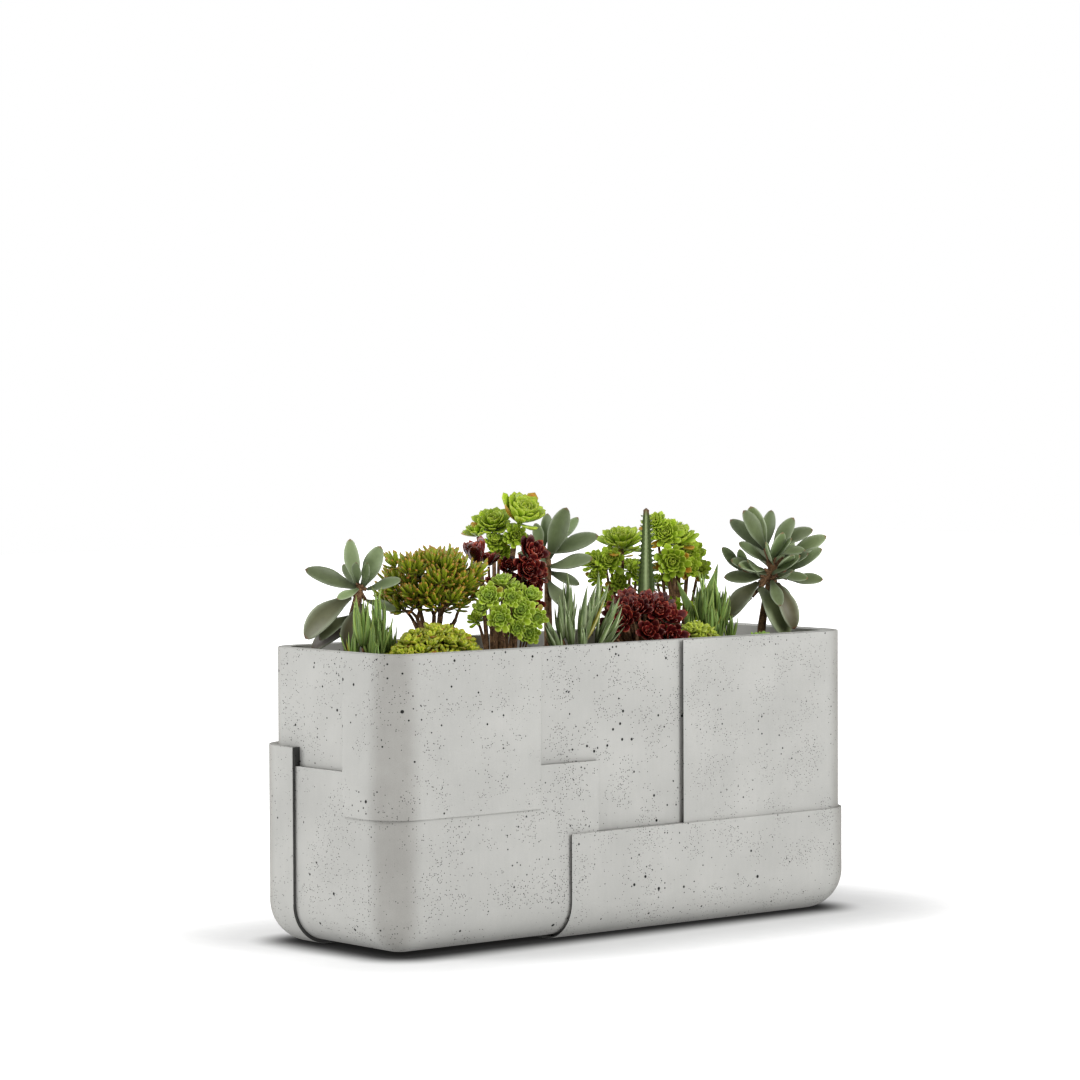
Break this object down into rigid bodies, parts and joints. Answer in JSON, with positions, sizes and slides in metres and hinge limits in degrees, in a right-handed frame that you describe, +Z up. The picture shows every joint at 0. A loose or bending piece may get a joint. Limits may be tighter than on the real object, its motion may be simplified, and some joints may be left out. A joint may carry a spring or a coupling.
{
  "type": "planter box",
  "caption": "Rounded rectangular concrete planter clad in overlapping slabs, filled with soil and a mixed succulent planting.",
  "frame": {"origin": "on the floor under the middle of the box", "axes": "+X along the length, +Y to the back, +Z up; the long front wall faces -Y"},
  "size_m": [1.031, 0.378, 0.735],
  "materials": {
    "concrete": "fair-faced, with fine pinholes",
    "screw_steel": "plain",
    "insert_brass": "plain",
    "screen_plastic": "moulded",
    "gravel": "loose pebbles",
    "fleece": "needled felt",
    "soil": "loose bark-based mix",
    "grey_leaf": "waxy bloom",
    "blue_leaf": "waxy bloom",
    "green_leaf": "waxy",
    "olive_leaf": "waxy",
    "lime_leaf": "waxy",
    "dark_leaf": "waxy",
    "spurge_green": "waxy ribs with spines",
    "gold_leaf": "waxy"
  },
  "bodies": {
    "root": {"tub": "concrete", "lower_corner_slab": "concrete", "upper_corner_slab": "concrete", "strap_slab": "concrete", "upper_side_slab": "concrete", "lower_band": "concrete", "slab_screws": "screw_steel", "slab_inserts": "insert_brass", "drain_screens": "screen_plastic", "drainage_gravel": "gravel", "filter_fleece": "fleece", "growing_medium": "soil", "paddle_plant_left": "grey_leaf", "paddle_plant_middle": "grey_leaf", "paddle_plant_right": "grey_leaf", "finger_plant_left": "blue_leaf", "finger_plant_middle": "blue_leaf", "finger_plant_right": "green_leaf", "jelly_shrub": "olive_leaf", "green_aeonium_tall": "lime_leaf", "green_aeonium_middle": "lime_leaf", "green_aeonium_right": "lime_leaf", "dark_aeonium_tall": "dark_leaf", "dark_aeonium_mound": "dark_leaf", "rosette_cluster": "green_leaf", "column_spurge": "spurge_green", "gold_sedum_front": "gold_leaf", "lime_sedum_right": "lime_leaf", "sprout_clump": "green_leaf"}
  },
  "joints": []
}
